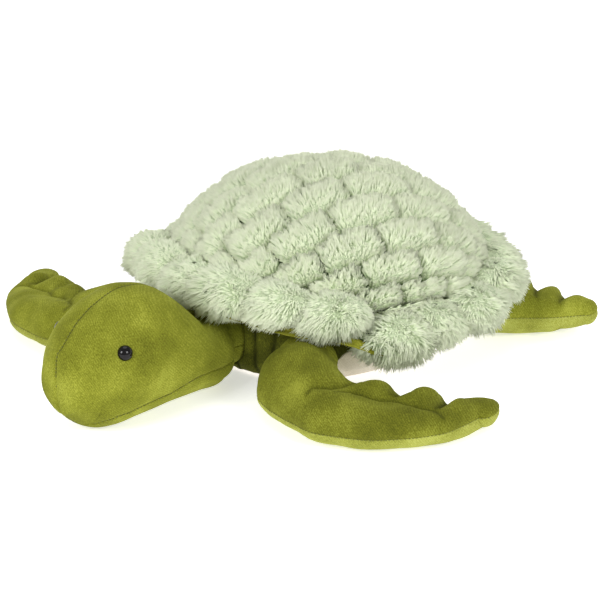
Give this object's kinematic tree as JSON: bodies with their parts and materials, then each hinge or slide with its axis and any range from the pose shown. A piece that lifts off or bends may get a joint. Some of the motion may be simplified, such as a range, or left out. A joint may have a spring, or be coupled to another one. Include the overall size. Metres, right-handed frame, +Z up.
{
  "type": "plush turtle",
  "caption": "Stuffed sea turtle lying on its belly, with a domed fur shell in brick-like tiles, a tufted rim, olive velvet head and flippers, and glossy black safety eyes.",
  "frame": {"origin": "on the floor, under the middle of the belly", "axes": "+Z up, the head points toward -Y, the animal's left side is toward +X"},
  "size_m": [0.4701, 0.4675, 0.1478],
  "materials": {
    "cream_plush": "short-pile cream velvet plush, matt",
    "olive_plush": "short-pile olive velvet plush with a blotchy nap, matt with a soft sheen",
    "sage_fur": "long silky pale sage faux fur, cut into tile tufts",
    "fibre_fill": "white polyester fibre filling",
    "black_gloss": "polished black plastic",
    "nylon_washer": "moulded natural nylon"
  },
  "bodies": {
    "torso": {"belly_panel": "cream_plush", "body_side_panel": "olive_plush", "body_stuffing": "fibre_fill", "shell_lining": "olive_plush", "shell_rim": "sage_fur", "shell_fur_cover": "sage_fur"},
    "neck": {"neck_wadding": "fibre_fill"},
    "head": {"head_panel_left": "olive_plush", "head_panel_right": "olive_plush", "head_gusset": "olive_plush", "head_stuffing": "fibre_fill", "eye_left": "black_gloss", "eye_right": "black_gloss", "eye_washer_left": "nylon_washer", "eye_washer_right": "nylon_washer"},
    "front_left_shoulder": {"shoulder_wadding_left": "fibre_fill"},
    "front_left_flipper": {"front_left_flipper_top": "olive_plush", "front_left_flipper_bottom": "olive_plush", "front_left_flipper_stuffing": "fibre_fill"},
    "front_right_shoulder": {"shoulder_wadding_right": "fibre_fill"},
    "front_right_flipper": {"front_right_flipper_top": "olive_plush", "front_right_flipper_bottom": "olive_plush", "front_right_flipper_stuffing": "fibre_fill"},
    "rear_left_flipper": {"rear_left_flipper_top": "olive_plush", "rear_left_flipper_bottom": "olive_plush", "rear_left_flipper_stuffing": "fibre_fill"},
    "rear_right_flipper": {"rear_right_flipper_top": "olive_plush", "rear_right_flipper_bottom": "olive_plush", "rear_right_flipper_stuffing": "fibre_fill"}
  },
  "joints": [
    {"name": "head_turn", "type": "hinge", "parent": "torso", "child": "neck", "pos_m": [0, -0.124, 0.033], "axis": [0, 0, 1], "range_deg": [-15, 15]},
    {"name": "head_nod", "type": "hinge", "parent": "neck", "child": "head", "pos_m": [0, -0.124, 0.033], "axis": [1, 0, 0], "range_deg": [-5, 20]},
    {"name": "front_left_sweep", "type": "hinge", "parent": "torso", "child": "front_left_shoulder", "pos_m": [0.087, -0.113, 0.028], "axis": [0, 0, 1], "range_deg": [-25, 4]},
    {"name": "front_left_flap", "type": "hinge", "parent": "front_left_shoulder", "child": "front_left_flipper", "pos_m": [0.087, -0.113, 0.028], "axis": [0.3714, 0.9285, 0], "range_deg": [-2, 25]},
    {"name": "front_right_sweep", "type": "hinge", "parent": "torso", "child": "front_right_shoulder", "pos_m": [-0.087, -0.113, 0.028], "axis": [0, 0, 1], "range_deg": [-19, 6]},
    {"name": "front_right_flap", "type": "hinge", "parent": "front_right_shoulder", "child": "front_right_flipper", "pos_m": [-0.087, -0.113, 0.028], "axis": [0.6535, -0.757, 0], "range_deg": [-2, 25]},
    {"name": "rear_left_flap", "type": "hinge", "parent": "torso", "child": "rear_left_flipper", "pos_m": [0.092, 0.084, 0.029], "axis": [-0.3714, 0.9285, 0], "range_deg": [-6, 9]},
    {"name": "rear_right_flap", "type": "hinge", "parent": "torso", "child": "rear_right_flipper", "pos_m": [-0.092, 0.084, 0.029], "axis": [-0.3714, -0.9285, 0], "range_deg": [-6, 9]}
  ]
}
